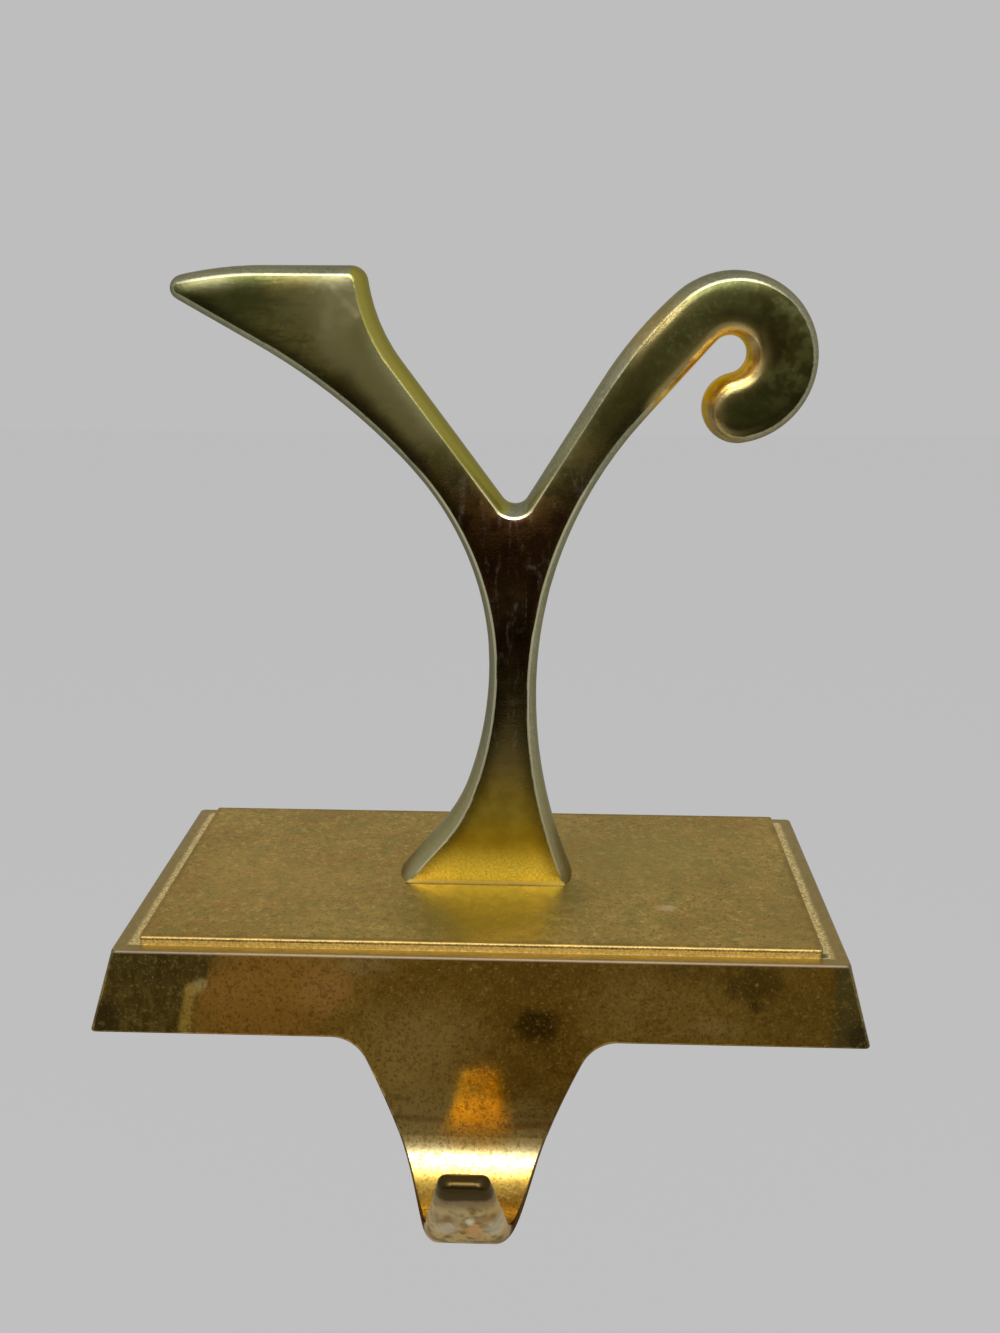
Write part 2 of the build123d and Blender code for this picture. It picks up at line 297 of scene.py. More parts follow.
    def paint(self, colour, patches):
        """Lays patches over a colour: each is a mask, a strength and the patch's own colour."""
        for mask, strength, tint in patches:
            colour = self.mix(self.math("MULTIPLY", mask, strength), colour, tint)
        return colour

    def wear(self, number, patches):
        """Lays patches over a number: each is a mask and the patch's own number."""
        for mask, value in patches:
            number = self.blend(mask, number, value)
        return number

    def bump(self, height, depth, normal=None):
        """A normal from heights of 0 to 1, with a depth in millimetres."""
        node = self.nodes.new("ShaderNodeBump")
        if normal:
            self.put(node.inputs["Normal"], normal)
        node.inputs["Distance"].default_value = depth / MM_PER_M
        self.put(node.inputs["Height"], height)
        return node.outputs[0]

    def metal(self, colour, roughness, normal=None, grazing=WHITE):
        """Bare metal. The grazing colour tints what its edges mirror."""
        surface = self.nodes.new("ShaderNodeBsdfPrincipled")
        self.put(surface.inputs["Specular Tint"], grazing)
        output = self.nodes.new("ShaderNodeOutputMaterial")
        surface.inputs["Metallic"].default_value = 1.0
        self.put(surface.inputs["Base Color"], colour)
        self.put(surface.inputs["Roughness"], roughness)
        if normal:
            self.put(surface.inputs["Normal"], normal)
        self.links.new(surface.outputs[0], output.inputs[0])
        return self.material


def on_skirt(x, z):
    """A point on the sloping front of the base or on the tongue below it."""
    return (x, FRONT_Y + FLANK_RUN * z, z)


def on_panel(x, y):
    """A point on the raised panel."""
    return (x, y, PANEL_TOP)


def on_face(x, z):
    """A point on the front face of the letter."""
    return (x, FACE_Y, z)


def base_textures(s):
    """The base's noises and specks."""
    return SimpleNamespace(
        cloud=s.noise(18, detail=5),
        mottle=s.noise(4.5, detail=5, shift=7.3),
        patch=s.noise(2.4, detail=2, rough=0.4, shift=12.5),
        fine=s.noise(1.3, detail=4, shift=2.2),
        speckle=s.noise(0.55, detail=3, rough=0.6, shift=8.4),
        grain=s.noise(0.45, detail=2, shift=3.1),
        brush=s.noise(1.2, detail=4, stretch=(1, 1, 6), shift=4.4),
        pale_specks=s.specks(1.4, radius=0.13, share=0.3),
        dark_specks=s.specks(1.9, radius=0.13, share=0.4, shift=5.0),
    )


def base_areas(s, tex):
    """Masks of the base's areas from 0 to 1, and the way along the nib in millimetres."""
    area = SimpleNamespace()
    across = s.magnitude(s.x)
    along = s.magnitude(s.y)

    # The top, with a sandy step round the raised panel
    near_x = s.smooth(s.plus(across, tex.fine, 0.8), *STEP_X)
    near_y = s.smooth(s.plus(along, tex.fine, 0.4), *STEP_Y)
    area.top = s.smooth(s.z, *TOP_Z)
    area.step = s.times(area.top, s.smooth(s.z, *STEP_Z), near_x, near_y)
    area.panel_top = s.smooth(s.z, *PANEL_Z)
    area.ledge = s.times(s.smooth(s.z, *LEDGE_BAND_Z), area.top, s.rest(area.step))
    near_edge = s.either(s.smooth(across, *BORDER_X), s.smooth(along, *BORDER_Y))
    area.border = s.times(area.panel_top, near_edge)
    area.worn = s.times(s.rim(s.rounded(WORN_REACH)), s.smooth(s.z, *WORN_Z))
    area.edge_line = s.times(s.smooth(s.z, *EDGE_LINE_LOW_Z), s.smooth(s.z, *EDGE_LINE_HIGH_Z))

    # The front wall and the hollow underside
    area.front = s.smooth(s.y, *FRONT_WALL_Y)
    deep_x = s.smooth(s.plus(across, s.z, FLANK_RUN), *HOLLOW_X)
    deep_y = s.smooth(s.plus(along, s.z, FLANK_RUN), *HOLLOW_Y)
    area.hollow = s.times(deep_x, deep_y, s.smooth(s.z, *HOLLOW_Z))

    # The tongue and the hook, whose back is the side that faces away from the middle of the bend
    area.below = s.smooth(s.z, *TONGUE_Z)
    inward = s.vector("DOT_PRODUCT", s.normal, s.vector("SUBTRACT", BEND_CENTRE, s.place))
    area.hook_back = s.times(area.below, s.smooth(inward, 0.0, -1.5))
    area.nib_way = s.math("SUBTRACT", s.vector("DOT_PRODUCT", s.place, NIB_AXIS), NIB_START)
    area.nib = s.times(area.below, s.smooth(s.y, *NIB_Y))
    nib_tip = s.smooth(s.plus(area.nib_way, tex.mottle, 1.5), *NIB_TIP_WAY)
    area.nib_end = s.times(area.nib, area.hook_back, nib_tip)
    # Sides of the inside of the bend near the nib, which get painted shade
    area.bend_sides = s.times(area.below, s.smooth(s.y, *BEND_SIDES_Y), s.smooth(across, *BEND_SIDES_X))

    # Painted shade: dark lines along the sides of the tongue and the lower edge of the skirt, where they
    # face sideways or down
    dark_side = s.times(area.below, s.smooth(s.magnitude(s.right), 0.15, 0.45))
    facing_down = (s.smooth(s.up, -0.15, -0.4), s.smooth(s.up, -0.97, -0.9))
    dark_hem = s.times(s.smooth(s.z, *HEM_HIGH_Z), *facing_down)
    dark_line = s.either(dark_side, s.times(dark_hem, s.smooth(s.z, *HEM_LOW_Z)))
    area.dark_edge = s.times(dark_line, s.rest(area.nib))
    return area


def skirt_colour(s, tex, area):
    """Brown and golden tarnish of the sloping sides and the tongue, with a painted highlight across the
    tongue.
    """
    def spot(x, z, half, **shape):
        return s.blot(on_skirt(x, z), half, **shape)

    def line(start, end, width, edge=0.8):
        return s.streak(on_skirt(*start), on_skirt(*end), width, edge)

    def front_spot(x, z, half, **shape):
        return s.times(area.front, spot(x, z, half, **shape))

    orange = (0.78, 0.41, 0.080)
    stain = (0.06, 0.035, 0.006)
    pale = (0.70, 0.51, 0.22)
    dark_olive = s.mix(s.smooth(tex.brush, 0.4, 0.65), (0.15, 0.12, 0.032), (0.31, 0.24, 0.070))
    left_edge = s.math("SUBTRACT", s.x, s.math("MULTIPLY", s.z, LEFT_END_LEAN))
    left_end = s.smooth(s.plus(left_edge, tex.brush, 4.0), *LEFT_END_X)
    right_end = s.smooth(s.plus(s.x, tex.mottle, 3.0), *RIGHT_END_X)
    colour = s.mix(s.smooth(tex.cloud, 0.36, 0.64), (0.42, 0.245, 0.038), (0.57, 0.37, 0.070))
    return s.paint(colour, [
        (s.smooth(tex.mottle, 0.50, 0.70), 0.55, (0.33, 0.185, 0.025)),
        # Broad darker and lighter areas
        (spot(9.5, 1.0, (10.0, 8, 12.0), edge=0.9), 0.75, (0.24, 0.120, 0.010)),
        (spot(16.0, 12.5, (16.0, 8, 3.0), edge=0.9), 0.5, (0.24, 0.125, 0.012)),
        (spot(-9.5, 1.0, (9.0, 8, 5.0), edge=0.9), 0.55, (0.80, 0.57, 0.19)),
        (spot(-11.0, -9.0, (7.0, 6, 7.0), edge=0.9), 0.75, (0.86, 0.61, 0.19)),
        (spot(57.0, 6.0, (12.0, 8, 9.0), edge=0.9), 0.55, (0.26, 0.155, 0.028)),
        (spot(31.0, 8.0, (9.0, 8, 6.0), edge=0.9), 0.35, (0.66, 0.45, 0.15)),
        # Pale band across the tongue and the bend, a painted highlight that whitens the bright reflection
        # there
        (spot(-2.0, -15.0, (18, 5, 4.0), edge=0.8), 0.85, (0.95, 0.71, 0.25)),
        (s.blot((-1.0, -43.6, -19.3), (18, 4, 2.4), edge=0.7, ragged=0.3), 0.45, (0.96, 0.86, 0.52)),
        # Orange area at the left and the dark ends
        (front_spot(-37, 10, (15, 9, 6.0), ragged=0.5), 0.55, (0.90, 0.52, 0.13)),
        (front_spot(-39, 7, (12, 9, 8.5), ragged=0.5), 0.8, orange),
        (front_spot(-37, 2, (10, 9, 3), ragged=0.7), 0.5, (0.62, 0.30, 0.05)),
        (s.times(area.front, left_end), 0.9, dark_olive),
        (front_spot(-58, 13, (11, 8, 3), edge=0.8), 0.5, (0.10, 0.085, 0.025)),
        (spot(39.5, 13.2, (6, 5, 2.5), edge=0.8), 0.6, (0.24, 0.140, 0.022)),
        (s.times(area.front, right_end), 0.85, (0.19, 0.17, 0.06)),
        # Stains and pale spots
        (spot(-27.3, 8.2, (4.2, 4, 3.8), ragged=0.4), 0.65, (0.92, 0.50, 0.15)),
        (spot(-19.6, 12.9, (4.5, 4, 1.8)), 0.5, pale),
        (spot(10.7, 2.9, (3.7, 4, 2.9), edge=0.35, ragged=0.7, grain=1.8), 0.85, stain),
        (spot(49.2, 11.0, (4.6, 4, 3.5), ragged=0.9, grain=2), 0.85, (0.17, 0.105, 0.022)),
        (spot(49.5, 7.0, (1.3, 2, 1.1), ragged=0.7, grain=1), 0.6, stain),
        (spot(42.9, 3.1, (5.0, 4, 1.6), edge=0.8), 0.4, pale),
        (spot(-67.3, 2.3, (2.6, 4, 3.2)), 0.85, (0.08, 0.07, 0.025)),
        (spot(68.5, 1.4, (2.6, 4, 3.4)), 0.85, (0.07, 0.07, 0.035)),
        # Golden line at the left, and red-brown lines across the tongue
        (line((-49.6, 8.9), (-51.6, 7.8), 0.95, edge=0.7), 0.95, (1.0, 0.82, 0.34)),
        (line((-51.6, 7.8), (-52.8, 1.2), 0.95), 0.9, (1.0, 0.68, 0.15)),
        (line((-15.5, -13.4), (-6.0, -13.9), 0.5), 0.5, (0.36, 0.15, 0.04)),
        (line((5.5, -14.8), (13.5, -14.2), 0.6), 0.6, (0.36, 0.14, 0.04)),
        (line((4.5, -13.0), (13.0, -12.6), 0.4), 0.4, (0.40, 0.18, 0.05)),
        # Fine mottling all over
        (s.smooth(tex.fine, 0.52, 0.68), 0.45, (0.22, 0.125, 0.015)),
        (s.smooth(tex.fine, 0.44, 0.30), 0.35, (0.74, 0.49, 0.12)),
        (s.smooth(tex.speckle, 0.53, 0.64), 0.6, (0.17, 0.090, 0.010)),
        (s.smooth(tex.speckle, 0.42, 0.32), 0.45, (0.88, 0.62, 0.18)),
    ])


def panel_colour(s, tex, area):
    """Olive brown of the panel and the ledge, darker in front of the letter and along the panel's edge."""
    olive = (0.34, 0.265, 0.055)
    shade = (0.205, 0.155, 0.022)
    seam_line = s.streak(on_panel(-15.4, -6.8), on_panel(15.3, -6.8), width=0.34, edge=0.5)
    colour = s.mix(s.smooth(tex.cloud, 0.38, 0.62), (0.41, 0.255, 0.050), (0.47, 0.315, 0.070))
    return s.paint(colour, [
        # Mottling all over
        (s.smooth(tex.mottle, 0.44, 0.64), 0.75, olive),
        (s.smooth(tex.fine, 0.54, 0.68), 0.5, (0.62, 0.46, 0.17)),
        (s.smooth(tex.fine, 0.44, 0.32), 0.6, (0.26, 0.165, 0.030)),
        (s.smooth(tex.speckle, 0.53, 0.64), 0.60, (0.21, 0.130, 0.025)),
        # Broad areas and a pale spot
        (s.blot(on_panel(32, 8), (16, 14, 4), edge=0.8), 0.45, olive),
        (s.blot(on_panel(-40, -5), (20, 16, 4), edge=0.8), 0.25, (0.50, 0.30, 0.075)),
        (s.blot(on_panel(35.2, -15.7), (1.7, 1.1, 2), ragged=0.8, grain=1), 0.5, (0.75, 0.60, 0.33)),
        # Shade and seam at the letter's foot
        (s.blot(on_panel(0.5, -17.0), (14, 14, 4), edge=0.5, ragged=0.4), 0.85, shade),
        (seam_line, 0.9, (0.09, 0.055, 0.012)),
        (s.blot(on_panel(15.0, -9.0), (5, 6, 3), edge=0.6), 0.55, shade),
        # Edges of the panel and the ledge round it
        (s.blot(on_panel(58.0, -20.0), (6, 12, 3), edge=0.8), 0.40, (0.28, 0.19, 0.042)),
        (area.border, s.smooth(tex.mottle, 0.3, 0.7, start=0.2, end=0.75), (0.25, 0.155, 0.03)),
        (area.ledge, 0.6, (0.32, 0.235, 0.075)),
    ])


def step_colour(s, tex):
    """Sandy cast skin of the step round the panel, with a brown line along its front."""
    front_side = s.smooth(s.back, -0.5, -0.9)
    low = s.times(s.smooth(s.z, *SAND_LOW_Z), front_side)
    groove = s.times(s.smooth(s.z, *GROOVE_LOW_Z), s.smooth(s.z, *GROOVE_HIGH_Z), front_side)
    green_spot = s.blot((61.6, -30.8, LEDGE_Z), (1.0, 0.9, 1.5), ragged=0.3, grain=1)
    colour = s.mix(s.smooth(tex.grain, *NOISE_MIDDLE), (0.48, 0.36, 0.12), (0.88, 0.70, 0.32))
    return s.paint(colour, [
        (low, 0.6, (0.46, 0.35, 0.10)),
        (groove, s.smooth(tex.mottle, 0.3, 0.6, start=0.45, end=0.85), (0.15, 0.075, 0.020)),
        (green_spot, 0.9, (0.05, 0.09, 0.035)),
    ])


def nib_colour(s, tex, area):
    """Patchy tarnish on the outside of the nib, with rusty and pale spots near its root."""
    def spot(centre, half, edge=0.7, ragged=1.0, grain=1.5):
        return s.blot(centre, half, edge, ragged, grain)

    white_spot = spot((0.3, -65.3, -16.4), (0.7, 1.5, 0.9), edge=0.5, ragged=0.4, grain=1)
    colour = s.mix(s.smooth(tex.patch, 0.40, 0.56), (0.27, 0.155, 0.045), (0.62, 0.43, 0.16))
    return s.paint(colour, [
        (s.smooth(tex.cloud, 0.44, 0.56), 0.5, (0.64, 0.52, 0.28)),
        (s.smooth(tex.fine, 0.54, 0.68), 0.5, (0.20, 0.12, 0.03)),
        (s.smooth(area.nib_way, 5.0, 8.5), 0.7, (0.20, 0.135, 0.07)),
        (spot((1.0, -64.8, -19.0), (1.5, 3, 1.8)), 0.75, (0.74, 0.38, 0.12)),
        (spot((-3.6, -65.2, -16.2), (1.6, 3, 1.2)), 0.7, (0.26, 0.13, 0.05)),
        (spot((3.2, -65.2, -15.6), (1.8, 3, 1.2)), 0.6, (0.30, 0.15, 0.05)),
        (spot((-3.4, -65.0, -18.6), (2.0, 3, 1.6), edge=0.5, ragged=0.8), 0.7, (0.72, 0.62, 0.42)),
        (spot((5.0, -65.0, -18.4), (2.2, 3, 2.2), ragged=0.6), 0.6, (0.74, 0.67, 0.48)),
        (white_spot, 0.9, (0.85, 0.80, 0.56)),
    ])


def base_roughness(s, tex, area):
    """Polished skirt and tongue, satin top, and dull cast skin."""
    polish = s.blend(s.smooth(tex.mottle, 0.4, 0.7), 0.10, 0.18)
    satin = s.blend(s.smooth(tex.fine, 0.35, 0.7), 0.48, 0.60)
    inside = s.times(area.below, s.rest(area.hook_back))
    flecks = s.either(tex.pale_specks, s.smooth(tex.speckle, 0.58, 0.68))
    return s.wear(s.blend(area.top, polish, satin), [
        (s.either(area.step, area.hollow, area.worn, area.edge_line), 0.55),
        (area.ledge, 0.40),
        (s.times(inside, s.smooth(s.z, *SATIN_TONGUE_Z), 0.8), 0.28),
        (s.times(inside, s.smooth(s.z, *SATIN_BEND_Z), 0.8), 0.38),
        (area.hook_back, 0.40),
        (area.nib_end, 0.30),
        (s.times(flecks, 0.4), 0.5),
    ])


def base_brass():
    """Cast brass: tarnished polish outside, a sandy step, dull cast skin inside and on the hook's back,
    with painted shade along some edges and a painted highlight across the tongue.
    """
    s = Shader("base_brass_tarnished")
    tex = base_textures(s)
    area = base_areas(s, tex)
    cast = s.mix(s.smooth(tex.fine, *NOISE_MIDDLE), (0.30, 0.20, 0.07), (0.56, 0.40, 0.17))
    inner_nib = s.mix(s.smooth(area.nib_way, 2.0, 7.0), (0.36, 0.27, 0.070), (0.95, 0.76, 0.21))
    outer_nib = s.times(area.hook_back, area.nib)
    hook_front = s.rest(area.hook_back)
    colour = s.mix(area.top, skirt_colour(s, tex, area), panel_colour(s, tex, area))
    colour = s.paint(colour, [
        (s.times(area.nib, hook_front), 0.85, inner_nib),
        # Painted shade on the sides of the bend's inside, so only its middle looks lit
        (s.times(area.bend_sides, hook_front), 0.9, (0.10, 0.06, 0.015)),
        (tex.pale_specks, s.blend(area.top, 0.4, 0.3), (0.85, 0.66, 0.32)),
        (tex.dark_specks, 0.55, (0.14, 0.085, 0.02)),
        (area.step, 1.0, step_colour(s, tex)),
        (area.worn, 0.85, (0.30, 0.225, 0.165)),
        (area.edge_line, 0.9, (0.20, 0.155, 0.11)),
        (area.hollow, 1.0, cast),
        (area.hook_back, 1.0, cast),
        (outer_nib, 1.0, nib_colour(s, tex, area)),
        (area.nib_end, 0.95, (0.060, 0.038, 0.010)),
        # Painted shade along the tongue's sides and the skirt's lower edge
        (area.dark_edge, 0.8, (0.10, 0.05, 0.025)),
    ])
    grazing = s.mix(outer_nib, WHITE, (0.92, 0.86, 0.72))
    # The painted shade also dims what those edges mirror
    grazing = s.mix(area.dark_edge, grazing, (0.34, 0.26, 0.20))
    coarse = s.either(area.step, area.hollow, s.times(area.hook_back, s.rest(area.nib_end), 0.6))
    low_relief = s.math("MULTIPLY", tex.grain, s.blend(area.panel_top, 0.03, 0.08))
    normal = s.bump(s.blend(coarse, low_relief, tex.grain), BASE_RELIEF)
    return s.metal(colour, base_roughness(s, tex, area), normal, grazing)


def letter_textures(s):
    """The letter's noises and specks."""
    return SimpleNamespace(
        cloud=s.noise(15, detail=5, shift=4.0),
        mottle=s.noise(3.5, detail=5, shift=1.7),
        smear=s.noise(2.2, detail=5, rough=0.6, stretch=(1, 1, 4), shift=3.7, distort=1.2),
        fine=s.noise(1.0, detail=4, shift=6.1),
        brush=s.noise(0.8, detail=4, stretch=(5, 1, 1), shift=1.1),
        grain=s.noise(0.5, detail=2, shift=9.0),
        pale_specks=s.specks(1.5, radius=0.10, share=0.2, shift=2.0),
    )


def letter_areas(s, tex, soft):
    """Masks of the letter's areas. The soft normal rolls over the edges of its faces."""
    area = SimpleNamespace()
    facing = s.magnitude(s.back)
    area.flat = s.smooth(facing, 0.93, 0.985)
    area.edge = s.times(s.smooth(facing, 0.45, 0.65), s.smooth(facing, 0.985, 0.94))
    area.stem = s.smooth(s.z, *STEM_Z)
    area.foot = s.smooth(s.z, *FOOT_Z)
    area.toe = s.smooth(s.z, *TOE_Z)
    # Painted reflection: a bright line along the foot's lower edge, where it meets the base
    area.seam = s.times(s.smooth(s.z, *SEAM_Z), s.smooth(facing, 0.45, 0.6))

    # Painted shade: dark lines along the lower edges of the arms and the sides of the stem
    roll_right, _, roll_up = s.split(s.rounded(DARK_EDGE_REACH))
    under = s.times(s.smooth(roll_up, -0.13, -0.26), s.smooth(s.z, *UNDER_Z))
    stem_side = s.smooth(s.magnitude(roll_right), 0.10, 0.26)
    flank = s.times(stem_side, s.smooth(s.z, *FLANK_HIGH_Z), s.smooth(s.z, *FLANK_LOW_Z))
    area.dark_edge = s.either(under, flank)

    # Smudges on the stem; the inside of the left arm, and the curl with the rim of its face, where golden
    # reflections are painted
    smeared = s.times(s.smooth(tex.smear, 0.50, 0.70), s.smooth(tex.fine, 0.30, 0.65))
    area.smudges = s.times(smeared, s.smooth(s.z, *SMUDGE_HIGH_Z), s.smooth(s.z, *SMUDGE_LOW_Z))
    area.inner = s.times(s.smooth(s.x, *LEFT_INNER_X), s.smooth(s.right, 0.15, 0.4))
    area.curl = s.blot((40.5, 0, 116.0), (13.5, 40, 11.5), edge=0.3, ragged=0.0)
    curl_face = s.blot(on_face(40.0, 116.0), (13, 14, 11.5), edge=0.2, ragged=0.0)
    area.hem = s.times(curl_face, s.rim(soft))
    return area


def face_colour(s, tex, area, reflected_gold):
    """Olive tarnish of the arms, a red-brown stem and a golden foot, with painted highlights, shade and
    reflections along edges, at the toe and round the curl.
    """
    def spot(x, z, half, edge=0.7, **shape):
        return s.blot(on_face(x, z), half, edge, **shape)

    def line(start, end, width, edge):
        return s.streak(on_face(*start), on_face(*end), width, edge)

    light_olive = (0.56, 0.54, 0.27)
    near_black = (0.045, 0.038, 0.012)
    brushed_left = s.times(s.smooth(s.x, *LEFT_ARM_X), s.smooth(tex.brush, 0.48, 0.62))
    mottled_right = s.times(s.smooth(s.x, *CURL_X), s.smooth(tex.mottle, 0.42, 0.56))
    knee = s.times(s.smooth(s.z, *KNEE_HIGH_Z), s.smooth(s.z, *KNEE_LOW_Z))
    red_brown = s.mix(s.smooth(tex.mottle, 0.42, 0.58), (0.36, 0.17, 0.052), (0.14, 0.045, 0.022))
    foot_gold = s.mix(s.smooth(tex.mottle, *NOISE_MIDDLE), (0.42, 0.315, 0.038), (0.35, 0.255, 0.026))
    toe_reflection = s.mix(s.smooth(tex.grain, *NOISE_MIDDLE), (1.0, 0.86, 0.25), (0.78, 0.61, 0.090))
    edge_dark = s.mix(area.foot, (0.050, 0.040, 0.012), (0.10, 0.080, 0.012))
    colour = s.mix(s.smooth(tex.cloud, *NOISE_MIDDLE), (0.22, 0.20, 0.060), (0.33, 0.30, 0.105))
    return s.paint(colour, [
        # Mottling all over, greener at the right
        (s.smooth(s.x, *RIGHT_ARM_X), 0.8, (0.20, 0.225, 0.080)),
        (s.smooth(tex.mottle, 0.47, 0.64), 0.6, (0.12, 0.11, 0.035)),
        (s.smooth(tex.fine, 0.45, 0.30), 0.45, (0.46, 0.43, 0.19)),
        # Left arm
        (brushed_left, 0.6, (0.10, 0.11, 0.035)),
        (s.smooth(s.x, *LEFT_TIP_X), 0.55, (0.15, 0.175, 0.055)),
        (spot(-45.0, 127.5, (8, 3, 3.0), edge=0.5, ragged=0.7), 0.6, (0.10, 0.12, 0.040)),
        (spot(-49.5, 130.2, (5, 3, 1.6)), 0.5, light_olive),
        (spot(-33.9, 129.6, (5, 3, 2.0), edge=0.5), 0.35, (0.46, 0.37, 0.09)),
        (spot(-26.9, 125.0, (3.5, 3, 6.0), ragged=0.3), 0.75, light_olive),
        # Painted highlight: a light band along the arm's upper inner edge
        (line((-25.5, 120.0), (-11.5, 105.5), 3.6, edge=0.9), 0.7, light_olive),
        # Painted highlight at the arm's upper corner
        (line((-26.8, 129.4), (-22.9, 124.9), 0.55, edge=0.7), 0.75, (0.88, 0.82, 0.44)),
        # Painted shade: a dark band along the arm's lower edge
        (line((-26.0, 112.5), (-13.0, 97.5), 2.2, edge=0.8), 0.75, (0.085, 0.06, 0.018)),
        # Right arm and curl
        (mottled_right, 0.7, (0.085, 0.075, 0.018)),
        (spot(50.5, 121.0, (4, 3, 3.5)), 0.5, (0.09, 0.07, 0.015)),
        (spot(46.3, 107.9, (9, 3, 5)), 0.75, (0.075, 0.085, 0.022)),
        (spot(26, 112, (5, 3, 8), edge=0.8), 0.65, (0.12, 0.105, 0.028)),
        (spot(22.4, 105.1, (4, 3, 4), edge=0.8), 0.55, (0.12, 0.095, 0.030)),
        (spot(18.9, 99.7, (3.5, 3, 4), edge=0.8), 0.50, (0.44, 0.34, 0.12)),
        # Bend of the left arm, and the top of the curl
        (spot(-29.5, 127.0, (6, 3, 4), edge=0.8), 0.40, light_olive),
        (spot(-25.6, 127.0, (3.5, 3, 4)), 0.50, (0.74, 0.70, 0.38)),
        # Dark patches round the top of the curl
        (spot(44.0, 124.2, (5, 3, 2)), 0.70, near_black),
        (spot(50.8, 119.5, (2, 3, 3)), 0.60, near_black),
        # Stem
        (area.stem, 0.88, red_brown),
        (spot(4.5, 74.0, (3.5, 3, 4), edge=0.8), 0.45, (0.46, 0.27, 0.090)),
        (spot(2.5, 81.0, (4, 3, 3), edge=0.8), 0.45, (0.12, 0.040, 0.018)),
        (spot(4.5, 66.0, (4, 3, 3.5), edge=0.8), 0.45, (0.12, 0.045, 0.020)),
        # Foot, with a painted reflection at the toe and smudges above it
        (area.foot, 1.0, foot_gold),
        (knee, 0.7, (0.27, 0.235, 0.085)),
        (area.toe, 0.9, toe_reflection),
        (area.smudges, 0.6, (0.72, 0.66, 0.54)),
        (spot(3.8, 53.5, (2.5, 3, 0.6), edge=0.5, ragged=0.8, grain=1.5), 0.35, (0.55, 0.50, 0.33)),
        # Painted shade along the lower edges and the stem's sides, and a painted golden reflection round
        # the rim of the curl's face
        (area.dark_edge, 0.85, edge_dark),
        (area.hem, 0.9, reflected_gold),
    ])


def side_colour(s, tex, area, reflected_gold):
    """Dull greenish grey of the letter's sides, with painted golden reflections in the curl and on the
    inner sides at the left, painted shade on the left-facing sides and painted highlights along the edges.
    """
    curl_reflection = s.mix(s.smooth(tex.mottle, 0.40, 0.60), reflected_gold, (0.70, 0.45, 0.10))
    left_side_shade = s.times(s.smooth(s.right, -0.3, -0.7), s.smooth(s.up, 0.35, 0.1), s.rest(area.foot))
    edge_highlight = s.times(area.edge, s.smooth(s.z, *PALE_EDGE_HIGH_Z), s.smooth(s.z, *PALE_EDGE_LOW_Z))
    colour = s.mix(s.smooth(tex.cloud, *NOISE_MIDDLE), (0.33, 0.32, 0.20), (0.42, 0.405, 0.26))
    return s.paint(colour, [
        (s.smooth(tex.fine, 0.5, 0.7), 0.5, (0.55, 0.52, 0.36)),
        (s.smooth(tex.grain, 0.48, 0.66), 0.5, (0.20, 0.19, 0.11)),
        # Painted reflection: olive gold on the right-facing sides of the left half
        (area.inner, 1.0, (0.46, 0.405, 0.085)),
        # Painted reflection: gold on the sides inside the curl
        (area.curl, 0.9, curl_reflection),
        (area.foot, 0.6, (0.46, 0.39, 0.17)),
        # Painted shade on the left-facing sides
        (left_side_shade, 0.6, (0.22, 0.21, 0.17)),
        # Painted highlight along the edges of the faces
        (edge_highlight, 0.65, (0.80, 0.76, 0.48)),
    ])


def letter_brass():
    """The letter: polished faces with an olive tarnish, dull greyer sides, and a golden foot, with painted
    light and shade on its edges, toe and curl.
    """
    s = Shader("letter_brass_tarnished")
    tex = letter_textures(s)
    soft = s.rounded(FACE_REACH)
    area = letter_areas(s, tex, soft)
    # Gold of the painted reflections in the curl and round the rim of its face
    reflected_gold = (0.95, 0.72, 0.28)
    colour = s.mix(area.flat, side_colour(s, tex, area, reflected_gold), face_colour(s, tex, area, reflected_gold))
    colour = s.paint(colour, [
        (tex.pale_specks, 0.25, (0.70, 0.62, 0.36)),
        # Painted reflection: a bright line where the foot meets the base
        (area.seam, s.smooth(tex.grain, 0.3, 0.6, start=0.6, end=1.0), (1.0, 0.84, 0.27)),
    ])
    dull = s.blend(tex.fine, 0.26, 0.40)
    polish = s.blend(s.smooth(tex.mottle, 0.35, 0.7), 0.11, 0.19)
    rough = s.wear(s.blend(area.flat, dull, polish), [
        (s.times(area.foot, area.flat), 0.34),
        (s.times(area.curl, s.rest(area.flat)), 0.2),
        (s.either(area.seam, s.times(area.smudges, area.flat, 0.15)), 0.5),
    ])
    grazing = s.mix(area.flat, (0.50, 0.48, 0.38), WHITE)
    # The curl's golden grazing colour belongs to its painted reflection
    grazing = s.mix(area.curl, grazing, (0.80, 0.55, 0.14))
    normal = s.crowned(soft, FACE_CROWN, s.normal)
    normal = s.crowned(s.rounded(CURL_REACH), s.times(area.curl, CURL_CROWN), normal)
    height = s.blend(area.flat, tex.grain, s.math("MULTIPLY", tex.grain, 0.3))
    return s.metal(colour, rough, s.bump(height, LETTER_RELIEF, normal), grazing)


def screw_steel():
    """Zinc-plated steel of the hidden screws."""
    s = Shader("screw_steel_zinc")
    cloud = s.noise(2, detail=4)
    colour = s.mix(cloud, (0.42, 0.42, 0.42), (0.60, 0.60, 0.58))
    return s.metal(colour, s.blend(cloud, 0.28, 0.42))


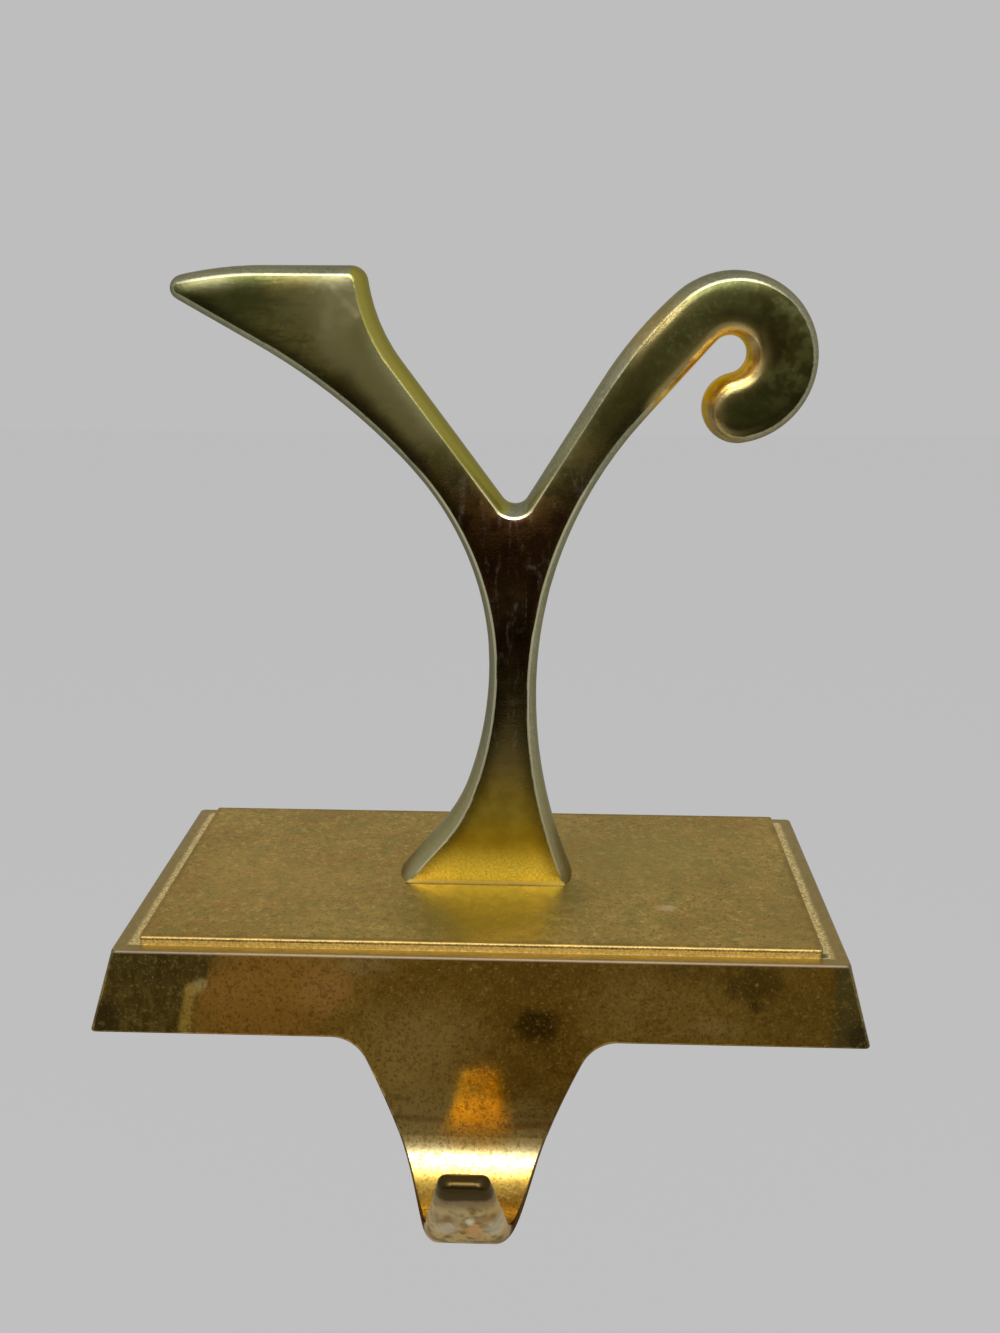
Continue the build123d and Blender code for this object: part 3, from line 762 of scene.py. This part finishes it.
def plain_card(name, size, place, turn, material):
    """A flat stage card that faces its own +Z before it is turned."""
    half_x, half_y = size[0] / 2, size[1] / 2
    mesh = bpy.data.meshes.new(name)
    corners = [(-half_x, -half_y, 0), (half_x, -half_y, 0), (half_x, half_y, 0), (-half_x, half_y, 0)]
    mesh.from_pydata(corners, [], [(0, 1, 2, 3)])
    mesh.materials.append(material)
    card = bpy.data.objects.new(name, mesh)
    card.location = place
    card.rotation_euler = turn
    bpy.context.scene.collection.objects.link(card)
    return card


def matte(name, albedo):
    """An even, dull paint."""
    material = bpy.data.materials.new(name)
    material.use_nodes = True
    surface = material.node_tree.nodes["Principled BSDF"]
    surface.inputs["Base Color"].default_value = albedo
    surface.inputs["Roughness"].default_value = MATTE_ROUGHNESS
    surface.inputs["Specular IOR Level"].default_value = 0.0
    return material


def seen_directly(tree):
    """1 for rays that come from the camera, a mirror or glass."""
    path = tree.nodes.new("ShaderNodeLightPath")
    result = path.outputs["Is Camera Ray"]
    for name in ("Is Glossy Ray", "Is Transmission Ray"):
        either = tree.nodes.new("ShaderNodeMath")
        either.operation = "MAXIMUM"
        tree.links.new(result, either.inputs[0])
        tree.links.new(path.outputs[name], either.inputs[1])
        result = either.outputs[0]
    return result


def floor_paint():
    """Pale grey that looks as even as the photograph's background, and keeps a trace of the shadow."""
    material = matte("floor_paint", FLOOR_ALBEDO)
    tree = material.node_tree
    glow = tree.nodes.new("ShaderNodeEmission")
    glow.inputs["Color"].default_value = BACKGROUND
    share = tree.nodes.new("ShaderNodeMath")
    share.operation = "MULTIPLY"
    tree.links.new(seen_directly(tree), share.inputs[0])
    share.inputs[1].default_value = FLOOR_GLOW
    mixed = tree.nodes.new("ShaderNodeMixShader")
    tree.links.new(share.outputs[0], mixed.inputs[0])
    tree.links.new(tree.nodes["Principled BSDF"].outputs[0], mixed.inputs[1])
    tree.links.new(glow.outputs[0], mixed.inputs[2])
    tree.links.new(mixed.outputs[0], tree.nodes["Material Output"].inputs[0])
    return material


def faded_cloth(name, axis, fade):
    """Dark cloth that gets lighter along a world axis, between two places in metres."""
    material = matte(name, FLAG_DARK)
    tree = material.node_tree
    place = tree.nodes.new("ShaderNodeSeparateXYZ")
    tree.links.new(tree.nodes.new("ShaderNodeNewGeometry").outputs["Position"], place.inputs[0])
    share = tree.nodes.new("ShaderNodeMapRange")
    share.interpolation_type = "SMOOTHSTEP"
    share.inputs["From Min"].default_value, share.inputs["From Max"].default_value = fade
    tree.links.new(place.outputs[axis], share.inputs["Value"])
    tint = tree.nodes.new("ShaderNodeMix")
    tint.data_type = "RGBA"
    first, second, result = MIX_SOCKETS["RGBA"]
    tint.inputs[first].default_value = FLAG_DARK
    tint.inputs[second].default_value = FLAG_LIGHT
    tree.links.new(share.outputs["Result"], tint.inputs["Factor"])
    tree.links.new(tint.outputs[result], tree.nodes["Principled BSDF"].inputs["Base Color"])
    return material


for node, make in (("base", base_brass), ("letter", letter_brass), ("letter_screws", screw_steel)):
    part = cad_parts[node]
    material = make()
    for slot in part.material_slots:
        slot.material = material

# A pale floor, and two dark cards in front that only reflections see
plain_card("floor", (FLOOR_SIZE, FLOOR_SIZE), (0, 0, FLOOR_Z), (0, 0, 0), floor_paint())
flag_cloth = faded_cloth("flag_cloth", "Z", FLAG_FADE)
floor_cloth = faded_cloth("floor_cloth", "Y", CLOTH_FADE)
cards = (plain_card("front_flag", FLAG_SIZE, FLAG_PLACE, (radians(-90), 0, 0), flag_cloth),
         plain_card("front_cloth", CLOTH_SIZE, CLOTH_PLACE, (0, 0, 0), floor_cloth))
for card in cards:
    card.visible_camera = False
    card.visible_diffuse = False
    card.visible_shadow = False

# An even grey surround and one soft key light, above and in front
world = bpy.data.worlds.new("studio")
world.use_nodes = True
world.node_tree.nodes["Background"].inputs["Color"].default_value = BACKGROUND
world.node_tree.nodes["Background"].inputs["Strength"].default_value = 1.0
bpy.context.scene.world = world

key = bpy.data.lights.new("key", "AREA")
key.shape = "RECTANGLE"
key.size, key.size_y = KEY_SIZE
key.energy = KEY_RADIANCE * pi * KEY_SIZE[0] * KEY_SIZE[1]
key_lamp = bpy.data.objects.new("key", key)
lift = Matrix.Rotation(radians(-KEY_ELEVATION), 3, "X")
towards_key = lift @ Vector((0, -1, 0))
key_lamp.location = towards_key * KEY_DISTANCE
key_lamp.rotation_euler = towards_key.to_track_quat("Z", "Y").to_euler()
bpy.context.scene.collection.objects.link(key_lamp)

camera_data = bpy.data.cameras.new("camera")
camera_data.sensor_width = SENSOR
camera_data.lens = FOCAL_PIXELS * SENSOR / IMAGE_HEIGHT
camera_data.clip_start = CLIP_START
camera = bpy.data.objects.new("camera", camera_data)
backward = -Vector(CAMERA_FORWARD)
columns = Matrix((CAMERA_RIGHT, CAMERA_UP, backward)).transposed()
camera.matrix_world = Matrix.Translation(CAMERA_PLACE) @ columns.to_4x4()
bpy.context.scene.collection.objects.link(camera)
bpy.context.scene.camera = camera
bpy.context.scene.view_settings.view_transform = "Standard"
